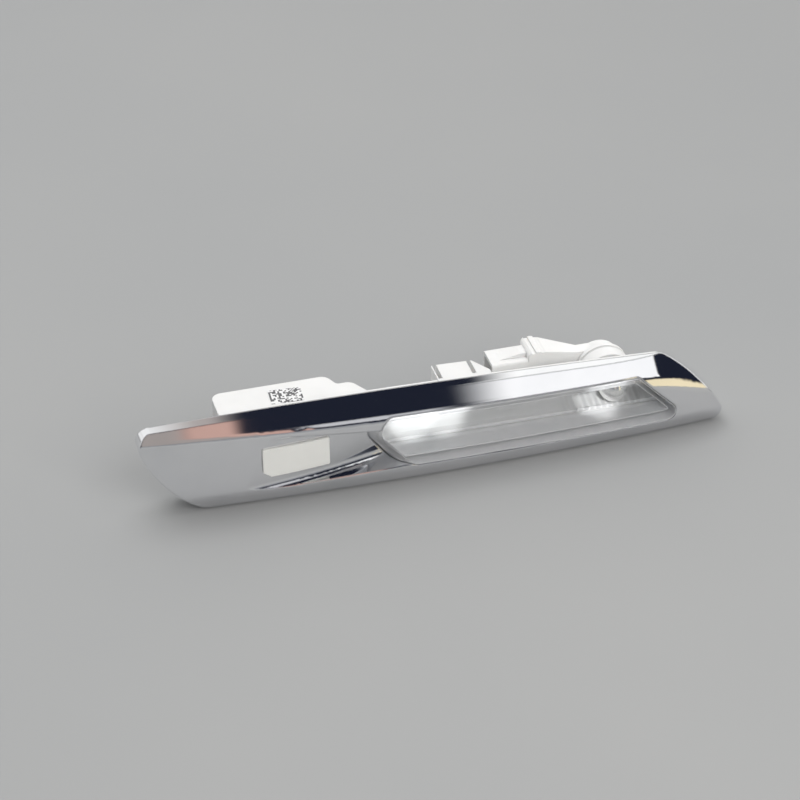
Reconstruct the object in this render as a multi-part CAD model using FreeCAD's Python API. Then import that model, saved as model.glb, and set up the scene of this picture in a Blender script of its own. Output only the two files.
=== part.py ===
"""Side marker lamp for a car's front wing: chrome blade trim, clear lens, reflector, housing and bulb holder.

Frame: X along the lamp (right as seen from outside), Y into the car, Z up. The lamp stands on z = 0. Sizes are
set out from the middle of the trim and its foremost line; the finished solids are then moved so that the
origin is the centre of the lamp's underside.
"""
import FreeCAD, Part
import math
import os

from FreeCAD import Vector

# Trim outline seen from the front
trim_length = 209.0
trim_height = 29.6
crown_bulge = 1.6
shoulder_height = 25.7
left_end_run = 23.0
right_end_run = 22.5
left_end_bulge = 4.2
right_end_bulge = 3.2
tip_radius = 4.6
heel_radius = 12.0
shoulder_radius = 6.0
toe_radius = 4.5

# Trim section seen from the end
trim_depth = 13.6
trim_wall = 1.8
bow_radius = 1300.0
strip_height = 4.5
strip_undercut = 0.7
strip_radius = 8.0
foot_radius = 1.2
face_lean = 7.0
facet_pitch = 36.0
crease_left = 27.4
crease_right = 20.4
crease_turn = 60.0
crease_fall = 8.0
crease_radius_left = 1.6
crease_radius_right = 8.0
rim_round = 0.6
section_run = 6.0
blade_stations = (-0.56, -0.4, -0.2, 0.0, 0.2, 0.3, 0.4, 0.48, 0.56)

# Badge recess swept into the left half of the trim
pocket_start = -70.0
pocket_skew = 11.0
pocket_end = -16.0
pocket_depth = 8.0
pocket_entry = 4.6
pocket_lip_start = 25.0
pocket_lip_end = 20.2
pocket_ledge_start = 4.3
pocket_ledge_end = 6.0
pocket_ledge_slope = 0.2
pocket_cove = 2.8
pocket_stations = (-0.3, -0.1, 0.1, 0.35, 0.6, 0.85, 1.1)

# Clear lens
lens_left_top = -27.8
lens_left_bottom = -13.4
lens_right_top = 71.5
lens_right_bottom = 89.0
lens_top_left = 24.7
lens_top_right = 21.9
lens_bottom_left = 5.9
lens_bottom_right = 4.7
lens_corner = 3.0
lens_lead_corner = 6.0
lens_end_slant = 0.5
lens_wall = 2.2
lens_gap = 0.25
lens_round_depth = 5.0
lens_round_run = 3.4
lens_stations = (0, 0.1, 0.2, 0.3, 0.4, 0.6, 0.8, 1)

# Badge plate
badge_left = -62.4
badge_width = 23.4
badge_bottom = 9.8
badge_height = 10.6
badge_proud = 0.9
badge_cut = 2.0
badge_cut_run = 2.8
badge_corner = 0.5

# Housing
fit_gap = 0.2
weld_plane = 11.8
flange_rear = 17.2
flange_wall = 1.8
housing_wall = 1.6
box_left = -73.6
box_right = -33.5
box_rear = 29.6
box_drop = 2.3
box_floor = 3.6
box_corner = 3.5
step_right = -22.0
step_rear = 24.0
step_bevel = 4.0
step_slope = 2.5
step_corner = 1.5
snap_left = 2.7
snap_width = 18.8
snap_rear = 25.6
snap_ramp = 4.5
snap_height = 7.0
snap_corner = 0.8
snap_slope = 0.8
snap_toe = 0.6
snap_toe_corner = 0.4
snap_slot = 1.4
snap_slot_pitch = 12.0
rib_thick = 1.4
rib_rise = 1.1
rib_pitch = 9.0
rib_count = 4
hook_span = 100.0
hook_centre = -10.0
hook_width = 11.0
hook_front = 16.4
hook_length = 6.0

# Reflector and the chamber behind the lens
reflector_wall = 1.2
reflector_rear = 19.6
reflector_hole_gap = 0.8
chamber_top = 22.4
chamber_floor = 6.6
chamber_rear = 22.6
chamber_taper = 2.6
chamber_round = 4.5
chamber_gap = 0.3

# Bulb
bulb_x = 65.0
bulb_z = 14.4
bulb_radius = 5.0
bulb_tip = 8.4
bulb_neck_radius = 3.9
wedge_width = 9.2
wedge_thick = 2.3
wedge_length = 6.0
bulb_seat_depth = 1.7
bulb_neck = 2.0

# Bulb holder and its plug shroud
holder_radius = 8.0
holder_rear = 31.4
seat_radius = 9.6
holder_flange = 1.6
spigot_radius = 7.0
spigot_front = 20.9
seal_thick = 1.0
bayonet_width = 4.0
bayonet_reach = 1.3
bayonet_thick = 1.2
bayonet_turn = 60.0
shroud_left = 25.0
shroud_right = 38.0
shroud_centre_y = 30.6
shroud_centre_z = 18.0
shroud_width = 10.6
shroud_height = 9.6
shroud_wall = 1.3
shroud_corner = 1.0
groove_width = 1.5
groove_depth = 0.6
groove_pitch = 3.4
groove_count = 3
latch_rise = 1.5
latch_width = 5.0
latch_lead = 1.0
latch_crest = 2.0
latch_sink = 0.5
latch_corner = 0.5
neck_shoulder = 42.0
neck_top = 25.6
neck_end_top = 21.8
neck_corner = 1.5
neck_bend = 3.0
neck_tail = 1.0
neck_crown = 2.0
contact_pitch = 5.4
contact_thick = 0.6
contact_width = 2.2
contact_inset = 3.5
contact_reach = 3.0
contact_y = 29.2

# Breather
vent_x = 8.0
vent_z = 12.0
vent_radius = 2.4
vent_bore = 1.2
vent_length = 3.0
cap_wall = 0.9
cap_gap = 0.1
cap_length = 4.2

# Printed code label on the housing
label_x = -49.2
label_y = 21.9
label_width = 11.2
label_depth = 8.4
label_thick = 0.12
label_turn = -4.0

# Working allowances of the construction
overcut = 1.0
blank_depth = 1.0
least_round = 0.3

half_length = trim_length / 2
lean = math.tan(math.radians(face_lean))
pitch = math.tan(math.radians(facet_pitch))
section_rear = trim_depth + section_run
box_top = trim_height - box_drop
front_clear = -8.0
lens_clear = -1.0


def bow(x):
    """Setback of the bowed front at a place along the lamp."""
    return x * x / (2 * bow_radius)


def blend(x, left, right):
    """Value that runs straight from the left end of the trim to its right end."""
    return left + (right - left) * (x + half_length) / trim_length


def crease_height(x):
    """Height of the crease: straight along the blade, then falling away towards its right end."""
    turn = (min(x, half_length) - crease_turn) / (half_length - crease_turn)
    return blend(x, crease_left, crease_right) - crease_fall * max(0.0, turn) ** 2


def face_setback(z):
    """Setback of the leaning front face above the lower strip, before the bow."""
    return lean * (z - strip_height)


def rounded_wire(corners, place):
    """Closed wire through (u, v, radius) corners, each rounded by a tangent arc; place maps u, v into space."""
    edges = []
    starts = []
    ends = []
    count = len(corners)
    for i, (u, v, radius) in enumerate(corners):
        before = corners[i - 1]
        after = corners[(i + 1) % count]
        here = Vector(u, v, 0)
        back = (Vector(before[0], before[1], 0) - here).normalize()
        ahead = (Vector(after[0], after[1], 0) - here).normalize()
        half_angle = back.getAngle(ahead) / 2
        if radius <= 0:
            starts.append(here)
            ends.append(here)
            edges.append(None)
            continue
        reach = radius / math.tan(half_angle)
        middle = here + (back + ahead).normalize() * (radius / math.sin(half_angle) - radius)
        starts.append(here + back * reach)
        ends.append(here + ahead * reach)
        arc = Part.Arc(place(*starts[-1][:2]), place(*middle[:2]), place(*ends[-1][:2]))
        edges.append(arc.toShape())
    chain = []
    for i in range(count):
        if edges[i] is not None:
            chain.append(edges[i])
        chain.append(Part.makeLine(place(*ends[i][:2]), place(*starts[(i + 1) % count][:2])))
    return Part.Wire(chain)


def shift_corners(corners, inset):
    """Corners of a polygon (listed clockwise in u, v) moved in by the same distance on every side."""
    moved = []
    count = len(corners)
    for i, (u, v, radius) in enumerate(corners):
        here = Vector(u, v, 0)
        into = (here - Vector(*corners[i - 1][:2], 0)).normalize()
        out = (Vector(*corners[(i + 1) % count][:2], 0) - here).normalize()
        normal_in = Vector(into.y, -into.x, 0)
        normal_out = Vector(out.y, -out.x, 0)
        corner = here + (normal_in + normal_out) * (inset / (1 + normal_in.dot(normal_out)))
        moved.append((corner.x, corner.y, max(radius - inset, least_round) if radius > 0 else 0))
    return moved


def prism_along_y(corners, y_front, y_rear):
    """Straight prism of a front-view polygon between two depths."""
    wire = rounded_wire(corners, lambda u, v: Vector(u, y_front, v))
    return Part.Face(wire).extrude(Vector(0, y_rear - y_front, 0))


def prism_along_z(corners, z_low, z_high):
    """Straight prism of a plan-view polygon between two heights."""
    wire = rounded_wire(corners, lambda u, v: Vector(u, v, z_low))
    return Part.Face(wire).extrude(Vector(0, 0, z_high - z_low))


def prism_along_x(corners, x_left, x_right):
    """Straight prism of an end-view polygon between two places along the lamp."""
    wire = rounded_wire(corners, lambda u, v: Vector(x_left, u, v))
    return Part.Face(wire).extrude(Vector(x_right - x_left, 0, 0))


def block(x_span, y_span, z_span):
    """Box between two corners."""
    size = (x_span[1] - x_span[0], y_span[1] - y_span[0], z_span[1] - z_span[0])
    return Part.makeBox(*size, Vector(x_span[0], y_span[0], z_span[0]))


def rod(x, z, radius, y_front, y_rear):
    """Round bar along Y."""
    return Part.makeCylinder(radius, y_rear - y_front, Vector(x, y_front, z), Vector(0, 1, 0))


def one_solid(shape):
    """The single solid of a result, with seams between like faces removed."""
    return shape.removeSplitter().Solids[0]


def bulged_circle(start, end, bulge):
    """Centre and radius of the front-view arc from start to end that bows out to the left by the bulge."""
    chord = end - start
    radius = (chord.Length ** 2 / 4 + bulge ** 2) / (2 * bulge)
    outward = Vector(-chord.z, 0, chord.x).normalize()
    return (start + end) / 2 - outward * (radius - bulge), radius


def crossing(first, second, near):
    """Point where two front-view circles cross, the one nearest to a given point."""
    centre, radius = first
    other, other_radius = second
    apart = other - centre
    along = (apart.Length ** 2 + radius ** 2 - other_radius ** 2) / (2 * apart.Length)
    height = math.sqrt(radius ** 2 - along ** 2)
    ray = Vector(apart).normalize()
    side = Vector(-ray.z, 0, ray.x) * height
    foot = centre + ray * along
    return min((foot + side, foot - side), key=lambda p: p.distanceToPoint(near))


def level_crossing(circle, z, near):
    """Point where a front-view circle meets a level, the one nearest to a given point."""
    centre, radius = circle
    reach = math.sqrt(radius ** 2 - (z - centre.z) ** 2)
    options = (Vector(centre.x + reach, 0, z), Vector(centre.x - reach, 0, z))
    return min(options, key=lambda p: p.distanceToPoint(near))


def arc_on(circle, start, end):
    """Shorter arc of a circle between two of its points."""
    centre, radius = circle
    middle = centre + ((start + end) / 2 - centre).normalize() * radius
    return Part.Arc(start, middle, end).toShape()


def trim_outline(inset):
    """Front-view outline of the trim, moved in by an inset, as the end face of a thin blank."""
    tip = Vector(-half_length, 0, trim_height)
    shoulder = Vector(half_length - right_end_run, 0, shoulder_height)
    toe = Vector(half_length, 0, 0)
    heel = Vector(-half_length + left_end_run, 0, 0)
    crown, right_end, left_end = (
        (centre, radius - inset)
        for centre, radius in (
            bulged_circle(tip, shoulder, crown_bulge),
            bulged_circle(shoulder, toe, right_end_bulge),
            bulged_circle(heel, tip, left_end_bulge),
        )
    )
    tip = crossing(crown, left_end, tip)
    shoulder = crossing(crown, right_end, shoulder)
    toe = level_crossing(right_end, inset, toe)
    heel = level_crossing(left_end, inset, heel)
    edges = [
        arc_on(crown, tip, shoulder),
        arc_on(right_end, shoulder, toe),
        Part.makeLine(toe, heel),
        arc_on(left_end, heel, tip),
    ]
    blank = Part.Face(Part.Wire(edges)).extrude(Vector(0, blank_depth, 0))
    for corner, radius in ((tip, tip_radius), (shoulder, shoulder_radius), (toe, toe_radius), (heel, heel_radius)):
        middle = corner + Vector(0, blank_depth / 2, 0)
        edge = min(blank.Edges, key=lambda e: e.CenterOfMass.distanceToPoint(middle))
        blank = blank.makeFillet(radius - inset, [edge])
    return min(blank.Faces, key=lambda f: f.CenterOfMass.y).OuterWire


def trim_prism(inset, y_front, y_rear):
    """Straight prism of the trim's outline."""
    wire = trim_outline(inset)
    wire.translate(Vector(0, y_front, 0))
    return Part.Face(wire).extrude(Vector(0, y_rear - y_front, 0))


def blade_form(inset):
    """Lofted outer form of the blade: strip, leaning face, crease and upper facet, moved in by an inset."""
    sections = []
    for step in blade_stations:
        x = step * trim_length
        set_back = bow(x)
        crease_z = crease_height(x)
        crease_y = face_setback(crease_z) + set_back
        crease_radius = blend(x, crease_radius_left, crease_radius_right)
        facet_top = crease_z + (section_rear - crease_y) * pitch
        corners = [
            (section_rear, 0.0, 0),
            (strip_undercut + set_back, 0.0, foot_radius),
            (set_back, strip_height, strip_radius),
            (crease_y, crease_z, crease_radius),
            (section_rear, facet_top, 0),
        ]
        if inset > 0:
            corners = shift_corners(corners, inset)
        sections.append(rounded_wire(corners, lambda u, v: Vector(x, u, v)))
    return Part.makeLoft(sections, True)


def pocket_form(grow):
    """Recess that sinks into the face from left to right; grow thickens it into the wall behind it."""
    sections = []
    span = pocket_end - pocket_start
    for step in pocket_stations:
        x = pocket_start + step * span
        lip = pocket_lip_start + (pocket_lip_end - pocket_lip_start) * step + grow
        ledge = pocket_ledge_start + (pocket_ledge_end - pocket_ledge_start) * step - grow
        late = step - pocket_skew / span
        low_depth = pocket_entry * step + (pocket_depth - pocket_entry) * step * abs(step) + grow
        high_depth = pocket_entry * late + (pocket_depth - pocket_entry) * late * abs(late) + grow
        floor_low = face_setback(ledge) + low_depth + bow(x)
        floor_high = face_setback(lip) + high_depth + bow(x)
        ledge_rear = ledge + pocket_ledge_slope * floor_low
        ledge_front = ledge + pocket_ledge_slope * front_clear
        corners = [
            (front_clear, ledge_front, 0),
            (front_clear, lip, 0),
            (floor_high, lip, rim_round),
            (floor_low, ledge_rear, pocket_cove + grow),
        ]
        sections.append(rounded_wire(corners, lambda u, v: Vector(x, u, v)))
    return Part.makeLoft(sections, True)


def lens_corners(y, inset):
    """Front-view corners of the lens at a depth: its left end slants outward towards the car."""
    lead = max(0.0, 1 - y / lens_round_depth)
    slant = lens_round_run * lead ** 2 - lens_end_slant * y
    corners = [
        (lens_left_top + slant, lens_top_left, lens_lead_corner),
        (lens_right_top, lens_top_right, lens_corner),
        (lens_right_bottom, lens_bottom_right, lens_corner),
        (lens_left_bottom + slant, lens_bottom_left, lens_corner),
    ]
    return shift_corners(corners, inset) if inset else corners


def lens_prism(inset, y_front, y_rear):
    """Prism of the lens outline with its slanted left end."""
    wires = []
    for step in lens_stations:
        y = y_front + (y_rear - y_front) * step
        wires.append(rounded_wire(lens_corners(y, inset), lambda u, v: Vector(u, y, v)))
    return Part.makeLoft(wires, True)


def make_trim():
    """Chrome blade: thin shell with the badge recess and the lens window."""
    body = blade_form(0).common(trim_prism(0, front_clear, trim_depth))
    cavity = blade_form(trim_wall).common(trim_prism(trim_wall, front_clear, trim_depth + overcut))
    cavity = cavity.cut(pocket_form(trim_wall))
    window = lens_prism(-lens_gap, lens_clear, trim_depth + overcut)
    return one_solid(body.cut(cavity).cut(pocket_form(0)).cut(window))


def make_lens():
    """Clear cover, flush with the blade, welded to the housing at its rear rim."""
    outer = blade_form(0).common(lens_prism(0, lens_clear, weld_plane))
    inner = blade_form(lens_wall).common(lens_prism(lens_wall, lens_clear, weld_plane + overcut))
    return one_solid(outer.cut(inner))


def chamber_form(grow, rear):
    """Trough-shaped room behind the lens, bounded by the lens outline at the weld plane, grown outwards."""
    front = weld_plane - overcut
    corners = [
        (front, chamber_floor - grow, 0),
        (front, chamber_top + grow, 0),
        (rear + grow, chamber_top - chamber_taper + grow, chamber_round + grow),
        (rear + grow, chamber_floor + chamber_taper - grow, chamber_round + grow),
    ]
    trough = prism_along_x(corners, -half_length, half_length)
    well = prism_along_y(lens_corners(weld_plane, lens_wall - grow), weld_plane, section_rear + box_rear)
    return trough.common(well)


def make_reflector():
    """Aluminised trough with a hole for the bulb."""
    outer = chamber_form(-chamber_gap, reflector_rear + chamber_gap)
    inner = chamber_form(-chamber_gap - reflector_wall, reflector_rear + chamber_gap)
    hole = rod(bulb_x, bulb_z, bulb_radius + reflector_hole_gap, weld_plane, chamber_rear)
    return one_solid(outer.cut(inner).cut(hole))


def seat_rear():
    """Depth of the housing's rear wall, where the bulb holder seats."""
    return chamber_rear + housing_wall


def make_box_corners(inset):
    """Plan-view corners of the left bay and the step beside it."""
    corners = [
        (box_left, weld_plane, 0),
        (box_left, box_rear, box_corner),
        (box_right, box_rear, box_corner),
        (box_right + step_slope, step_rear, step_corner),
        (step_right - step_bevel, step_rear, box_corner),
        (step_right, flange_rear, step_corner),
        (step_right, weld_plane, 0),
    ]
    return shift_corners(corners, inset) if inset else corners


def make_housing():
    """White moulded housing: flange inside the trim, left bay, lamp chamber, snap, hooks and holder seat."""
    reach = trim_wall + fit_gap
    plate = trim_prism(reach, weld_plane, flange_rear).common(blade_form(reach))
    limit = block((box_left, lens_right_bottom + flange_wall), (weld_plane, flange_rear), (0, trim_height))
    relief = trim_prism(reach + flange_wall, weld_plane + flange_wall, flange_rear + overcut)
    inner = block((box_left + flange_wall, lens_right_bottom), (weld_plane, flange_rear + overcut), (0, trim_height))
    body = plate.common(limit).cut(relief.common(inner))
    body = body.fuse(prism_along_z(make_box_corners(0), box_floor, box_top))
    body = body.fuse(chamber_form(housing_wall, chamber_rear))
    body = body.fuse(make_snap())
    for index in range(rib_count):
        body = body.fuse(make_rib(index))
    for side in (-0.5, 0.5):
        body = body.fuse(make_hook(hook_centre + side * hook_span))
    body = body.fuse(rod(bulb_x, bulb_z, seat_radius, spigot_front - housing_wall, seat_rear()))
    body = body.fuse(rod(vent_x, vent_z, vent_radius, chamber_rear, seat_rear() + vent_length))
    bay = prism_along_z(make_box_corners(housing_wall), box_floor + housing_wall, box_top - housing_wall)
    mouth = bay.copy()
    mouth.translate(Vector(0, -2 * housing_wall, 0))
    body = body.cut(bay.fuse(mouth))
    body = body.cut(chamber_form(0, chamber_rear))
    body = body.cut(rod(vent_x, vent_z, vent_bore, chamber_rear - overcut, seat_rear() + vent_length + overcut))
    mouth_front = spigot_front - fit_gap
    body = body.cut(rod(bulb_x, bulb_z, spigot_radius + fit_gap, mouth_front, seat_rear() + overcut))
    body = body.cut(bayonet_bar(fit_gap, mouth_front, seat_rear() + overcut, bayonet_turn))
    body = body.cut(bayonet_sweep(mouth_front, chamber_rear))
    return one_solid(body)


def make_snap():
    """Upper snap block with its ramp towards the right."""
    right = snap_left + snap_width
    corners = [
        (snap_left, weld_plane + flange_wall, 0),
        (snap_left, snap_rear, snap_corner),
        (right - snap_ramp, snap_rear - snap_slope, snap_corner),
        (right, flange_rear + snap_toe, snap_toe_corner),
        (right, weld_plane + flange_wall, 0),
    ]
    snap = prism_along_z(corners, box_top - snap_height, box_top)
    middle = snap_left + (snap_width - snap_ramp) / 2
    for side in (-0.5, 0.5):
        x = middle + side * snap_slot_pitch
        slot = (x - snap_slot / 2, x + snap_slot / 2)
        snap = snap.cut(block(slot, (flange_rear, snap_rear), (box_top - snap_height / 2, box_top)))
    return snap


def make_rib(index):
    """One of the upright stiffening ribs on the rear wall of the left bay."""
    middle = (box_left + box_right) / 2
    x = middle + (index - (rib_count - 1) / 2) * rib_pitch
    z_span = (box_floor, box_top - housing_wall)
    return block((x - rib_thick / 2, x + rib_thick / 2), (box_rear - housing_wall / 2, box_rear + rib_rise), z_span)


def make_groove(index):
    """One of the grip grooves across the top of the neck behind the plug shroud."""
    x = (shroud_right + neck_shoulder) / 2 + (index - (groove_count - 1) / 2) * groove_pitch
    y_span = (shroud_centre_y - shroud_width, shroud_centre_y + shroud_width)
    return block((x - groove_width / 2, x + groove_width / 2), y_span, (neck_top - groove_depth, neck_top))


def make_hook(x):
    """Lower hook that grips behind the panel's edge; the lamp also stands on it."""
    top = chamber_floor + chamber_taper
    return block((x - hook_width / 2, x + hook_width / 2), (hook_front, hook_front + hook_length), (0, top))


def bayonet_bar(gap, y_front, y_rear, turn):
    """Bar across the holder's axis whose two ends are the bayonet lugs, turned about that axis."""
    reach = spigot_radius + bayonet_reach + gap
    half = bayonet_width / 2 + gap
    bar = block((bulb_x - reach, bulb_x + reach), (y_front, y_rear), (bulb_z - half, bulb_z + half))
    bar.rotate(Vector(bulb_x, 0, bulb_z), Vector(0, 1, 0), turn)
    return bar


def bayonet_sweep(y_front, y_rear):
    """Round room behind the rear wall in which the bayonet lugs turn."""
    return rod(bulb_x, bulb_z, spigot_radius + bayonet_reach + fit_gap, y_front, y_rear)


def make_badge():
    """Blank badge plate that follows the trim's front and recess floor."""
    front = blade_form(0).cut(pocket_form(0))
    raised = front.copy()
    raised.translate(Vector(0, -badge_proud, 0))
    right = badge_left + badge_width
    top = badge_bottom + badge_height
    corners = [
        (badge_left, top, badge_corner),
        (right, top, badge_corner),
        (right, badge_bottom, badge_corner),
        (badge_left + badge_cut_run, badge_bottom, badge_corner),
        (badge_left, badge_bottom + badge_cut, badge_corner),
    ]
    return one_solid(raised.common(prism_along_y(corners, front_clear, trim_depth)).cut(front))


def make_label():
    """Thin printed label on top of the left bay."""
    span = (-label_width / 2, label_width / 2)
    sheet = block(span, (-label_depth / 2, label_depth / 2), (0, label_thick))
    sheet.rotate(Vector(0, 0, 0), Vector(0, 0, 1), label_turn)
    sheet.translate(Vector(label_x, label_y, box_top))
    return sheet


def glass_foot():
    """Depth at which the bulb's glass sits in the holder."""
    return spigot_front + bulb_seat_depth


def make_bulb():
    """Silver-coated wedge bulb, its axis along Y."""
    dome = bulb_tip + bulb_radius
    profile = Part.Wire([
        Part.Arc(
            Vector(0, bulb_tip, 0),
            Vector(bulb_radius * math.sqrt(0.5), dome - bulb_radius * math.sqrt(0.5), 0),
            Vector(bulb_radius, dome, 0),
        ).toShape(),
        Part.makeLine(Vector(bulb_radius, dome, 0), Vector(bulb_radius, glass_foot() - bulb_neck, 0)),
        Part.makeLine(Vector(bulb_radius, glass_foot() - bulb_neck, 0), Vector(bulb_neck_radius, glass_foot(), 0)),
        Part.makeLine(Vector(bulb_neck_radius, glass_foot(), 0), Vector(0, glass_foot(), 0)),
        Part.makeLine(Vector(0, glass_foot(), 0), Vector(0, bulb_tip, 0)),
    ])
    glass = Part.Face(profile).revolve(Vector(0, 0, 0), Vector(0, 1, 0), 360)
    glass.translate(Vector(bulb_x, 0, bulb_z))
    return one_solid(glass.fuse(wedge_form(0, glass_foot() - bulb_neck / 2)))


def wedge_form(gap, y_front):
    """Flat wedge foot of the bulb, or with a gap the slot that takes it."""
    x_half = wedge_width / 2 + gap
    z_half = wedge_thick / 2 + gap
    y_rear = glass_foot() + wedge_length + gap
    return block((bulb_x - x_half, bulb_x + x_half), (y_front, y_rear), (bulb_z - z_half, bulb_z + z_half))


def make_contact(side):
    """Strip contact from the plug shroud to one face of the bulb's wedge; side is 1 above and -1 below."""
    level = shroud_centre_z + side * contact_pitch / 2
    leaf_z = bulb_z + side * (wedge_thick + contact_thick) / 2
    half = contact_thick / 2
    edge = bulb_x - wedge_width / 2 - fit_gap
    bend = edge + contact_reach if side > 0 else edge - contact_thick
    y_span = (contact_y - contact_width / 2, contact_y + contact_width / 2)
    leaf_front = glass_foot() + contact_thick
    low = min(leaf_z, level) - half
    high = max(leaf_z, level) + half
    blade = block((shroud_left + contact_inset, bend + contact_thick), y_span, (level - half, level + half))
    riser = block((bend, bend + contact_thick), y_span, (low, high))
    leaf_x = (bend - contact_width, bend + contact_thick) if side > 0 else (bend, edge + contact_reach)
    leaf = block(leaf_x, (leaf_front, y_span[1]), (leaf_z - half, leaf_z + half))
    return one_solid(blade.fuse(riser).fuse(leaf))


def make_seal():
    """Flat rubber ring between the holder and the housing."""
    outer = rod(bulb_x, bulb_z, seat_radius - fit_gap, seat_rear(), seat_rear() + seal_thick)
    return outer.cut(rod(bulb_x, bulb_z, spigot_radius, seat_rear(), seat_rear() + seal_thick))


def make_shroud():
    """Plug shroud and the tapered neck that joins it to the holder's round body."""
    y_span = (shroud_centre_y - shroud_width / 2, shroud_centre_y + shroud_width / 2)
    z_span = (shroud_centre_z - shroud_height / 2, shroud_centre_z + shroud_height / 2)
    shroud = prism_along_x(
        [
            (y_span[0], z_span[0], shroud_corner),
            (y_span[0], z_span[1], shroud_corner),
            (y_span[1], z_span[1], shroud_corner),
            (y_span[1], z_span[0], shroud_corner),
        ],
        shroud_left,
        shroud_right,
    )
    latch = prism_along_y(
        [
            (shroud_left + latch_lead, z_span[1] - latch_sink, 0),
            (shroud_right - latch_crest, z_span[1] + latch_rise, latch_corner),
            (shroud_right, z_span[1] + latch_rise, 0),
            (shroud_right, z_span[1] - latch_sink, 0),
        ],
        shroud_centre_y - latch_width / 2,
        shroud_centre_y + latch_width / 2,
    )
    plan = prism_along_z(
        [
            (shroud_right, y_span[0], 0),
            (shroud_right, y_span[1], neck_corner),
            (neck_shoulder, y_span[1], neck_bend),
            (bulb_x - holder_radius, holder_rear, neck_tail),
            (bulb_x, holder_rear, 0),
            (bulb_x, flange_face(), 0),
            (bulb_x - holder_radius, flange_face(), 0),
            (neck_shoulder, y_span[0], 0),
        ],
        z_span[0],
        neck_top,
    )
    side = prism_along_y(
        [
            (shroud_right, z_span[0], 0),
            (shroud_right, neck_top, neck_crown),
            (neck_shoulder, neck_top, neck_crown),
            (bulb_x - holder_radius, neck_end_top, 0),
            (bulb_x, neck_end_top, 0),
            (bulb_x, z_span[0], 0),
        ],
        y_span[0],
        y_span[1],
    )
    return shroud.fuse(latch).fuse(plan.common(side))


def flange_face():
    """Rear face of the holder's flange."""
    return seat_rear() + seal_thick + holder_flange


def make_holder():
    """Twist-lock bulb holder with its plug shroud."""
    body = rod(bulb_x, bulb_z, spigot_radius, spigot_front, flange_face())
    body = body.fuse(rod(bulb_x, bulb_z, seat_radius, seat_rear() + seal_thick, flange_face()))
    body = body.fuse(rod(bulb_x, bulb_z, holder_radius, flange_face(), holder_rear))
    lug_rear = chamber_rear - fit_gap
    body = body.fuse(bayonet_bar(0, lug_rear - bayonet_thick, lug_rear, 0))
    body = body.fuse(make_shroud())
    half_y = shroud_width / 2 - shroud_wall
    half_z = shroud_height / 2 - shroud_wall
    socket = block(
        (shroud_left - overcut, shroud_right),
        (shroud_centre_y - half_y, shroud_centre_y + half_y),
        (shroud_centre_z - half_z, shroud_centre_z + half_z),
    )
    body = body.cut(socket)
    body = body.cut(rod(bulb_x, bulb_z, bulb_radius + fit_gap, spigot_front - overcut, glass_foot()))
    body = body.cut(wedge_form(fit_gap / 2, glass_foot() - overcut))
    for index in range(groove_count):
        body = body.cut(make_groove(index))
    for side in (1, -1):
        body = body.cut(make_contact(side))
    return one_solid(body)


def make_vent_cap():
    """Cup that covers the breather nipple."""
    front = seat_rear() + cap_gap
    inner = vent_radius + cap_gap
    cup = rod(vent_x, vent_z, inner + cap_wall, front, front + cap_length)
    return cup.cut(rod(vent_x, vent_z, inner, front, seat_rear() + vent_length + cap_gap))


nodes = {
    "chrome_trim": make_trim(),
    "lens": make_lens(),
    "reflector": make_reflector(),
    "housing": make_housing(),
    "badge_plate": make_badge(),
    "code_label": make_label(),
    "bulb": make_bulb(),
    "bulb_holder": make_holder(),
    "contact_upper": make_contact(1),
    "contact_lower": make_contact(-1),
    "holder_seal": make_seal(),
    "vent_cap": make_vent_cap(),
}
box = Part.makeCompound(list(nodes.values())).optimalBoundingBox(False)
centring = Vector(-box.Center.x, -box.Center.y, 0)
os.makedirs("parts", exist_ok=True)
for name, solid in nodes.items():
    solid.translate(centring)
    solid.exportStep(f"parts/{name}.step")
print("centring", centring.x, centring.y)
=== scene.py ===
"""Side marker lamp: looks, light and camera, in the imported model's frame (metres, origin under the lamp)."""
import math

import bpy
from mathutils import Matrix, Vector

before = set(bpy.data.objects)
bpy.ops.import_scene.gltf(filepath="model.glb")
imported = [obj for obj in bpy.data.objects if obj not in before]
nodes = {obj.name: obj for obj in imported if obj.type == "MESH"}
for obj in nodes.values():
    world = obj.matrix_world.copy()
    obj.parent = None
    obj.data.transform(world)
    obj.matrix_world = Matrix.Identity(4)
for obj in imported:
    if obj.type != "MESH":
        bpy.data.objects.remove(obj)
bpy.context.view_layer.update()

# Printed label: middle, turn and cell size in metres, and how many cells reach out from its middle
LABEL_MIDDLE = (-0.048743, 0.003912, 0)
LABEL_TURN = -4.0
LABEL_CELL = 0.00062
LABEL_CELLS_X = 9
LABEL_CELLS_Y = 6.5

# Reflector flutes beside the bulb: where along X they fade in and out, and their depth
FLUTES_IN = (0.046, 0.052)
FLUTES_OUT = (0.074, 0.080)
FLUTE_DEPTH = 0.0012

# Table: half its width, and its tones
TABLE_REACH = 4.0
FLOOR_DARK = (0.346, 0.353, 0.356)
FLOOR_LIGHT = (0.376, 0.379, 0.376)

# Tones of the studio's surroundings, which the chrome mirrors
HORIZON_GREY = (0.40, 0.40, 0.40)
LOW_WALL_GREY = (0.30, 0.31, 0.33)
CEILING_NAVY = (0.014, 0.017, 0.030)
REAR_WALL_WHITE = (0.95, 0.95, 0.94)
REAR_BROWN = (0.46, 0.42, 0.40)
REAR_LEFT_WHITE = (1.0, 1.0, 0.99)
REAR_RIGHT_WHITE = (1.15, 1.15, 1.13)
SIDE_WALL_WHITE = (1.0, 1.0, 1.0)
PANEL_WHITE = (1.12, 1.12, 1.12)
FRONT_BROWN = (0.40, 0.36, 0.34)
FRONT_PINK = (0.62, 0.40, 0.34)
STRIP_GREY = (0.62, 0.62, 0.64)
WARM_GLOW = (0.98, 0.85, 0.58)
OPEN_LOW = (-3, -2)
OPEN_HIGH = (2, 3)

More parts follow.
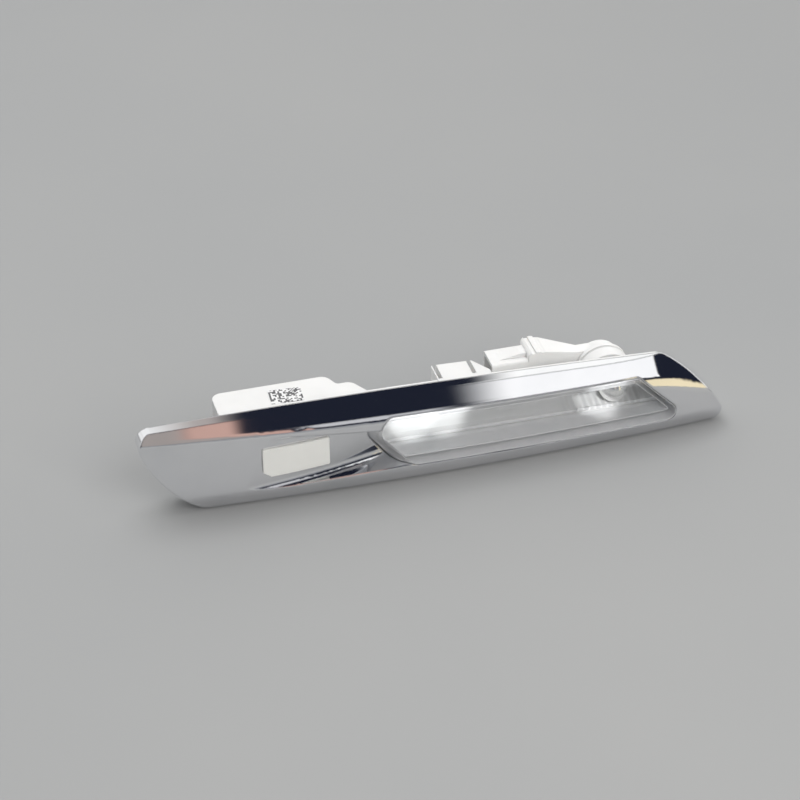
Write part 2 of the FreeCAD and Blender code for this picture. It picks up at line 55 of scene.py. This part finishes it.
# Spot lamps on the reflector: cone in degrees, softness of its edge, and radius of the lamp
BEAM_SPREAD = 1.0
BEAM_BLEND = 0.6
BEAM_RADIUS = 0.002

# Camera
CAMERA_PLACE = (-0.2427, -0.7965, 0.6000)
CAMERA_AIM = (-0.01266, -0.00946, 0.0275)
CAMERA_LENS = 134.1
CAMERA_SENSOR = 36.0


def tree_of(material):
    material.use_nodes = True
    tree = material.node_tree
    tree.nodes.clear()
    return tree


def add(tree, kind, **values):
    """New node with attributes and input sockets set by name."""
    node = tree.nodes.new(kind)
    for name, value in values.items():
        if hasattr(node, name):
            setattr(node, name, value)
        else:
            node.inputs[name.replace("_", " ")].default_value = value
    return node


def link(tree, source, target):
    tree.links.new(source, target)


def noise(tree, scale, detail=3.0, stretch=(1, 1, 1)):
    """Noise in object space, in metres, optionally stretched."""
    coords = add(tree, "ShaderNodeTexCoord")
    mapping = add(tree, "ShaderNodeMapping")
    mapping.inputs["Scale"].default_value = stretch
    texture = add(tree, "ShaderNodeTexNoise", Scale=scale, Detail=detail)
    link(tree, coords.outputs["Object"], mapping.inputs["Vector"])
    link(tree, mapping.outputs["Vector"], texture.inputs["Vector"])
    return texture.outputs["Fac"]


def ramp(tree, source, *stops):
    """Colour ramp with (position, colour) stops."""
    node = add(tree, "ShaderNodeValToRGB")
    elements = node.color_ramp.elements
    for i, (position, colour) in enumerate(stops):
        element = elements[i] if i < 2 else elements.new(position)
        element.position = position
        element.color = (*colour, 1) if len(colour) == 3 else colour
    link(tree, source, node.inputs["Fac"])
    return node.outputs["Color"]


def spread(tree, source, low, high, start=0.0, end=1.0, kind="LINEAR"):
    """Source value from start..end mapped to low..high."""
    node = add(tree, "ShaderNodeMapRange", interpolation_type=kind)
    node.inputs["From Min"].default_value = start
    node.inputs["From Max"].default_value = end
    node.inputs["To Min"].default_value = low
    node.inputs["To Max"].default_value = high
    link(tree, source, node.inputs["Value"])
    return node.outputs["Result"]


def bump(tree, source, strength, distance):
    node = add(tree, "ShaderNodeBump", Strength=strength, Distance=distance)
    link(tree, source, node.inputs["Height"])
    return node.outputs["Normal"]


def finish_material(tree, shader):
    output = add(tree, "ShaderNodeOutputMaterial")
    link(tree, shader, output.inputs["Surface"])


def times(tree, a, b):
    node = add(tree, "ShaderNodeMath", operation="MULTIPLY")
    link(tree, a, node.inputs[0])
    link(tree, b, node.inputs[1])
    return node.outputs["Value"]


def band(tree, value, rises, falls):
    """Mask that rises smoothly over one (start, end) range of the value and falls over another."""
    rise = spread(tree, value, 0.0, 1.0, *rises, kind="SMOOTHSTEP")
    fall = spread(tree, value, 1.0, 0.0, *falls, kind="SMOOTHSTEP")
    return times(tree, rise, fall)


def plastic(name, dark, light, rough, scatter, grain):
    """Moulded plastic: faint mottle, uneven gloss and a fine moulded grain."""
    material = bpy.data.materials.new(name)
    tree = tree_of(material)
    shader = add(tree, "ShaderNodeBsdfPrincipled", Roughness=rough)
    shader.inputs["Subsurface Weight"].default_value = scatter
    shader.inputs["Subsurface Radius"].default_value = (0.002, 0.0018, 0.0016)
    shader.inputs["Subsurface Scale"].default_value = 0.5
    link(tree, ramp(tree, noise(tree, 60, 4), (0.3, dark), (0.7, light)), shader.inputs["Base Color"])
    link(tree, spread(tree, noise(tree, 140, 3), rough - 0.08, rough + 0.1), shader.inputs["Roughness"])
    rounding = add(tree, "ShaderNodeBevel", samples=4, Radius=0.0004)
    moulded = add(tree, "ShaderNodeBump", Strength=0.12, Distance=0.00006)
    link(tree, noise(tree, grain, 2), moulded.inputs["Height"])
    link(tree, rounding.outputs["Normal"], moulded.inputs["Normal"])
    link(tree, moulded.outputs["Normal"], shader.inputs["Normal"])
    finish_material(tree, shader.outputs["BSDF"])
    return material


def metal(name, dark, light, rough_low, rough_high, wave, rim_highlight_mask=0.0):
    """Plated or bare metal: smear of tone, uneven polish and a very slight waviness."""
    material = bpy.data.materials.new(name)
    tree = tree_of(material)
    shader = add(tree, "ShaderNodeBsdfPrincipled", Metallic=1.0)
    link(tree, ramp(tree, noise(tree, 35, 4), (0.3, dark), (0.7, light)), shader.inputs["Base Color"])
    link(tree, spread(tree, noise(tree, 90, 5), rough_low, rough_high), shader.inputs["Roughness"])
    ripple = add(tree, "ShaderNodeBump", Strength=wave, Distance=0.0001)
    link(tree, noise(tree, 45, 1.0), ripple.inputs["Height"])
    if rim_highlight_mask:
        rounding = add(tree, "ShaderNodeBevel", samples=6, Radius=rim_highlight_mask)
        link(tree, rounding.outputs["Normal"], ripple.inputs["Normal"])
    link(tree, ripple.outputs["Normal"], shader.inputs["Normal"])
    finish_material(tree, shader.outputs["BSDF"])
    return material


def aluminised(name):
    """Aluminised plastic: a soft mirror over a pale ground, with faint streaks along its length."""
    material = bpy.data.materials.new(name)
    tree = tree_of(material)
    mirror = add(tree, "ShaderNodeBsdfPrincipled", Metallic=1.0)
    streaks = noise(tree, 40, 4, (0.3, 1, 1))
    link(tree, ramp(tree, streaks, (0.3, (0.86, 0.86, 0.87)), (0.7, (0.94, 0.94, 0.94))),
         mirror.inputs["Base Color"])
    link(tree, spread(tree, noise(tree, 90, 4), 0.10, 0.2), mirror.inputs["Roughness"])
    ground = add(tree, "ShaderNodeBsdfDiffuse")
    link(tree, ramp(tree, noise(tree, 55, 3), (0.3, (0.90, 0.90, 0.90)), (0.7, (0.95, 0.95, 0.95))),
         ground.inputs["Color"])
    coords = add(tree, "ShaderNodeTexCoord")
    flutes = add(tree, "ShaderNodeTexWave", Scale=75.0, Distortion=0.4)
    link(tree, coords.outputs["Object"], flutes.inputs["Vector"])
    place_of = add(tree, "ShaderNodeSeparateXYZ")
    link(tree, coords.outputs["Object"], place_of.inputs["Vector"])
    fluted = times(tree, flutes.outputs["Fac"], band(tree, place_of.outputs["X"], FLUTES_IN, FLUTES_OUT))
    waves = add(tree, "ShaderNodeBump", Strength=1.0, Distance=FLUTE_DEPTH)
    link(tree, fluted, waves.inputs["Height"])
    link(tree, bump(tree, noise(tree, 70, 2, (0.5, 1, 1)), 0.1, 0.0001), waves.inputs["Normal"])
    link(tree, waves.outputs["Normal"], mirror.inputs["Normal"])
    link(tree, waves.outputs["Normal"], ground.inputs["Normal"])
    mix = add(tree, "ShaderNodeMixShader", Fac=0.55)
    link(tree, mirror.outputs["BSDF"], mix.inputs[1])
    link(tree, ground.outputs["BSDF"], mix.inputs[2])
    finish_material(tree, mix.outputs["Shader"])
    return material


def clear_plastic(name):
    """Clear acrylic: light passes straight through, with gloss at a slant, and a pale diffuse haze on walls
    and edges as painted light, standing in for their bright look and edge highlights.
    """
    material = bpy.data.materials.new(name)
    tree = tree_of(material)
    facing = add(tree, "ShaderNodeLayerWeight", Blend=0.5)
    slanted = add(tree, "ShaderNodeMath", operation="POWER")
    slanted.inputs[1].default_value = 5.0
    link(tree, facing.outputs["Facing"], slanted.inputs[0])
    gloss = add(tree, "ShaderNodeBsdfGlossy")
    link(tree, spread(tree, noise(tree, 120, 4), 0.015, 0.05), gloss.inputs["Roughness"])
    passing = add(tree, "ShaderNodeBsdfTransparent")
    link(tree, ramp(tree, noise(tree, 50, 3), (0.3, (0.94, 0.95, 0.95)), (0.7, (0.98, 0.98, 0.98))),
         passing.inputs["Color"])
    # Painted light: pale diffuse haze on the walls and rounded edges, a painted highlight standing in for the
    # brightness of clear acrylic there
    painted_light_haze = add(tree, "ShaderNodeBsdfDiffuse")
    link(tree, ramp(tree, noise(tree, 300, 4), (0.3, (0.90, 0.91, 0.93)), (0.7, (0.96, 0.96, 0.97))),
         painted_light_haze.inputs["Color"])
    surface = add(tree, "ShaderNodeNewGeometry")
    turned = add(tree, "ShaderNodeSeparateXYZ")
    link(tree, surface.outputs["Normal"], turned.inputs["Vector"])
    flat = add(tree, "ShaderNodeMath", operation="ABSOLUTE")
    link(tree, turned.outputs["Y"], flat.inputs[0])
    wall = spread(tree, flat.outputs["Value"], 0.85, 0.03, start=0.45, end=0.985, kind="SMOOTHSTEP")
    # Rounded edges take the painted highlight haze as well
    rounded = add(tree, "ShaderNodeBevel", samples=6, Radius=0.0007)
    agree = add(tree, "ShaderNodeVectorMath", operation="DOT_PRODUCT")
    link(tree, rounded.outputs["Normal"], agree.inputs[0])
    link(tree, surface.outputs["Normal"], agree.inputs[1])
    rim_highlight_mask = spread(tree, agree.outputs["Value"], 0.75, 0.0, start=0.86, end=0.995)
    painted_light_mask = add(tree, "ShaderNodeMath", operation="MAXIMUM")
    link(tree, wall, painted_light_mask.inputs[0])
    link(tree, rim_highlight_mask, painted_light_mask.inputs[1])
    soft = add(tree, "ShaderNodeMixShader")
    link(tree, painted_light_mask.outputs["Value"], soft.inputs["Fac"])
    link(tree, passing.outputs["BSDF"], soft.inputs[1])
    link(tree, painted_light_haze.outputs["BSDF"], soft.inputs[2])
    mix = add(tree, "ShaderNodeMixShader")
    polish = add(tree, "ShaderNodeMath", operation="MULTIPLY_ADD")
    polish.inputs[1].default_value = 0.25
    link(tree, wall, polish.inputs[0])
    link(tree, spread(tree, slanted.outputs["Value"], 0.03, 0.7), polish.inputs[2])
    link(tree, polish.outputs["Value"], mix.inputs["Fac"])
    link(tree, soft.outputs["Shader"], mix.inputs[1])
    link(tree, gloss.outputs["BSDF"], mix.inputs[2])
    finish_material(tree, mix.outputs["Shader"])
    return material


def printed_label(name):
    """White label with a block of square dark cells inside a clear margin."""
    material = bpy.data.materials.new(name)
    tree = tree_of(material)
    shader = add(tree, "ShaderNodeBsdfPrincipled", Roughness=0.5)
    coords = add(tree, "ShaderNodeTexCoord")
    turn = add(tree, "ShaderNodeMapping", vector_type="TEXTURE")
    turn.inputs["Location"].default_value = LABEL_MIDDLE
    turn.inputs["Rotation"].default_value = (0, 0, math.radians(LABEL_TURN))
    turn.inputs["Scale"].default_value = (LABEL_CELL, LABEL_CELL, 1)
    link(tree, coords.outputs["Object"], turn.inputs["Vector"])
    parts = add(tree, "ShaderNodeSeparateXYZ")
    link(tree, turn.outputs["Vector"], parts.inputs["Vector"])
    cells = add(tree, "ShaderNodeCombineXYZ")
    for axis in ("X", "Y"):
        whole = add(tree, "ShaderNodeMath", operation="FLOOR")
        link(tree, parts.outputs[axis], whole.inputs[0])
        link(tree, whole.outputs["Value"], cells.inputs[axis])
    white = add(tree, "ShaderNodeTexWhiteNoise", noise_dimensions="2D")
    link(tree, cells.outputs["Vector"], white.inputs["Vector"])
    chance = add(tree, "ShaderNodeMath", operation="GREATER_THAN")
    chance.inputs[1].default_value = 0.5
    link(tree, white.outputs["Value"], chance.inputs[0])
    field = chance.outputs["Value"]
    for axis, reach in (("X", LABEL_CELLS_X), ("Y", LABEL_CELLS_Y)):
        size = add(tree, "ShaderNodeMath", operation="ABSOLUTE")
        link(tree, parts.outputs[axis], size.inputs[0])
        within = add(tree, "ShaderNodeMath", operation="LESS_THAN")
        within.inputs[1].default_value = reach
        link(tree, size.outputs["Value"], within.inputs[0])
        field = times(tree, field, within.outputs["Value"])
    print_tone = times(tree, field, spread(tree, noise(tree, 900, 3), 0.8, 1.0))
    link(tree, ramp(tree, print_tone, (0.0, (0.80, 0.80, 0.80)), (1.0, (0.03, 0.03, 0.035))),
         shader.inputs["Base Color"])
    finish_material(tree, shader.outputs["BSDF"])
    return material


looks = {
    "chrome_trim": metal("bright_chrome", (0.80, 0.81, 0.83), (0.88, 0.88, 0.90),
                         rough_low=0.02, rough_high=0.045, wave=0.03, rim_highlight_mask=0.0009),
    "lens": clear_plastic("clear_lens"),
    "reflector": aluminised("aluminised"),
    "housing": plastic("white_plastic", (0.77, 0.77, 0.76), (0.84, 0.84, 0.83),
                       rough=0.42, scatter=0.15, grain=4000),
    "badge_plate": plastic("satin_badge", (0.88, 0.88, 0.84), (0.94, 0.94, 0.90),
                           rough=0.30, scatter=0.0, grain=6000),
    "code_label": printed_label("printed_label"),
    "bulb": metal("silvered_glass", (0.93, 0.92, 0.89), (0.98, 0.97, 0.95),
                  rough_low=0.05, rough_high=0.1, wave=0.1),
    "bulb_holder": plastic("holder_plastic", (0.79, 0.79, 0.78), (0.86, 0.86, 0.85),
                           rough=0.40, scatter=0.12, grain=5000),
    "contact_upper": metal("contact_metal", (0.70, 0.66, 0.58), (0.80, 0.77, 0.70),
                           rough_low=0.2, rough_high=0.35, wave=0.2),
    "holder_seal": plastic("seal_silicone", (0.58, 0.58, 0.57), (0.66, 0.66, 0.65),
                           rough=0.55, scatter=0.1, grain=3000),
    "vent_cap": plastic("cap_rubber", (0.03, 0.03, 0.03), (0.06, 0.06, 0.06),
                        rough=0.6, scatter=0.0, grain=3000),
}
looks["contact_lower"] = looks["contact_upper"]
for name, node in nodes.items():
    node.data.materials.clear()
    node.data.materials.append(looks[name])


def floor_material():
    """Pale table top: faint cloudiness and a very fine grain."""
    material = bpy.data.materials.new("table_top")
    tree = tree_of(material)
    shader = add(tree, "ShaderNodeBsdfPrincipled", Roughness=0.55)
    shader.inputs["Specular IOR Level"].default_value = 0.25
    link(tree, ramp(tree, noise(tree, 3.0, 4), (0.3, FLOOR_DARK), (0.7, FLOOR_LIGHT)),
         shader.inputs["Base Color"])
    link(tree, bump(tree, noise(tree, 2500, 2), 0.05, 0.0001), shader.inputs["Normal"])
    finish_material(tree, shader.outputs["BSDF"])
    return material


floor_mesh = bpy.data.meshes.new("table")
floor_sides = ((-1, -1), (1, -1), (1, 1), (-1, 1))
floor_corners = [(TABLE_REACH * x, TABLE_REACH * y, 0) for x, y in floor_sides]
floor_mesh.from_pydata(floor_corners, [], [(0, 1, 2, 3)])
floor = bpy.data.objects.new("table", floor_mesh)
floor_mesh.materials.append(floor_material())
bpy.context.scene.collection.objects.link(floor)


def over(tree, under, mask, colour):
    """Colour laid over another where a mask is 1."""
    node = add(tree, "ShaderNodeMix", data_type="RGBA")
    link(tree, mask, node.inputs["Factor"])
    link(tree, under, node.inputs["A"])
    node.inputs["B"].default_value = (*colour, 1)
    return node.outputs["Result"]


def studio_world():
    """Surroundings painted by direction: pale low walls, a dark ceiling and a white panel up on the right."""
    world = bpy.data.worlds.new("studio")
    bpy.context.scene.world = world
    world.use_nodes = True
    tree = world.node_tree
    tree.nodes.clear()
    coords = add(tree, "ShaderNodeTexCoord")
    parts = add(tree, "ShaderNodeSeparateXYZ")
    link(tree, coords.outputs["Generated"], parts.inputs["Vector"])
    x, y, z = (parts.outputs[axis] for axis in "XYZ")
    paint = ramp(tree, z, (0.0, HORIZON_GREY), (0.22, LOW_WALL_GREY), (0.34, CEILING_NAVY))
    # Behind the lamp: a white wall, and above it what the trim's top edge mirrors
    rear = band(tree, y, (0.15, 0.35), OPEN_HIGH)
    rear_low = times(tree, rear, band(tree, z, (0.05, 0.12), (0.42, 0.48)))
    paint = over(tree, paint, rear_low, REAR_WALL_WHITE)
    rear_high = times(tree, rear, band(tree, z, (0.3, 0.4), (0.85, 0.9)))
    for rises, falls, tone in (
        (OPEN_LOW, (0.16, 0.18), REAR_BROWN),
        (OPEN_LOW, (0.13, 0.16), REAR_LEFT_WHITE),
        ((0.285, 0.31), OPEN_HIGH, REAR_RIGHT_WHITE),
    ):
        paint = over(tree, paint, times(tree, rear_high, band(tree, x, rises, falls)), tone)
    right_wall = times(tree, band(tree, x, (0.72, 0.80), OPEN_HIGH), band(tree, z, (0.1, 0.2), OPEN_HIGH))
    paint = over(tree, paint, right_wall, SIDE_WALL_WHITE)
    # In front of the lamp: the white panel, two warm shades on the left and a warm glow low on the right
    front = band(tree, y, OPEN_LOW, (0.0, 0.1))
    panel_top = times(tree, front, band(tree, z, (0.655, 0.68), OPEN_HIGH))
    panel = times(tree, panel_top, band(tree, x, (0.295, 0.335), (0.598, 0.606)))
    paint = over(tree, paint, panel, PANEL_WHITE)
    left_top = times(tree, front, band(tree, z, (0.25, 0.35), OPEN_HIGH))
    for rises, falls, tone in (
        ((-0.2, -0.1), (0.125, 0.14), FRONT_BROWN),
        ((0.122, 0.138), (0.158, 0.168), FRONT_PINK),
    ):
        paint = over(tree, paint, times(tree, left_top, band(tree, x, rises, falls)), tone)
    well_in_front = band(tree, y, OPEN_LOW, (-0.42, -0.36))
    strip_height = times(tree, well_in_front, band(tree, z, (0.50, 0.56), (0.82, 0.86)))
    strip = times(tree, strip_height, band(tree, x, (0.17, 0.20), (0.275, 0.30)))
    paint = over(tree, paint, strip, STRIP_GREY)
    glow_height = times(tree, front, band(tree, z, (-0.04, -0.02), (0.50, 0.56)))
    glow = times(tree, glow_height, band(tree, x, (0.46, 0.49), (0.63, 0.68)))
    paint = over(tree, paint, glow, WARM_GLOW)
    light = add(tree, "ShaderNodeBackground")
    link(tree, paint, light.inputs["Color"])
    output = add(tree, "ShaderNodeOutputWorld")
    link(tree, light.outputs["Background"], output.inputs["Surface"])


def hang(name, data, place_at, aim_at):
    """Lamp put in the scene, turned to its aim and kept out of mirrors."""
    item = bpy.data.objects.new(name, data)
    item.location = place_at
    item.rotation_euler = (Vector(aim_at) - Vector(place_at)).to_track_quat("-Z", "Y").to_euler()
    item.visible_glossy = False
    bpy.context.scene.collection.objects.link(item)


def lamp(name, place_at, aim_at, size, watts):
    """Soft square lamp."""
    data = bpy.data.lights.new(name, "AREA")
    data.shape = "SQUARE"
    data.size = size
    data.energy = watts
    hang(name, data, place_at, aim_at)


def beam(name, place_at, aim_at, watts):
    """Narrow soft-edged spot lamp, small enough that none of it passes over the trim."""
    data = bpy.data.lights.new(name, "SPOT")
    data.spot_size = math.radians(BEAM_SPREAD)
    data.spot_blend = BEAM_BLEND
    data.shadow_soft_size = BEAM_RADIUS
    data.energy = watts
    hang(name, data, place_at, aim_at)


studio_world()
lamp("key", place_at=(-0.15, 0.38, 1.15), aim_at=(0, 0, 0), size=0.9, watts=8.7)
lamp("fill", place_at=(0.30, -0.95, 0.75), aim_at=(0, 0, 0), size=0.9, watts=7.5)
beam("lens_left", place_at=(-0.15, -0.85, 0.62), aim_at=(-0.007, 0.001, 0.0123), watts=80.0)
beam("lens_mid", place_at=(-0.13, -0.85, 0.62), aim_at=(0.005, 0.001, 0.0123), watts=68.0)
beam("lens_bulb", place_at=(0.10, -0.80, 0.66), aim_at=(0.060, -0.004, 0.0110), watts=52.0)

camera_data = bpy.data.cameras.new("camera")
camera_data.sensor_width = CAMERA_SENSOR
camera_data.lens = CAMERA_LENS
camera = bpy.data.objects.new("camera", camera_data)
camera.location = CAMERA_PLACE
camera.rotation_euler = (Vector(CAMERA_AIM) - Vector(CAMERA_PLACE)).to_track_quat("-Z", "Y").to_euler()
bpy.context.scene.collection.objects.link(camera)
bpy.context.scene.camera = camera
bpy.context.scene.view_settings.view_transform = "Standard"
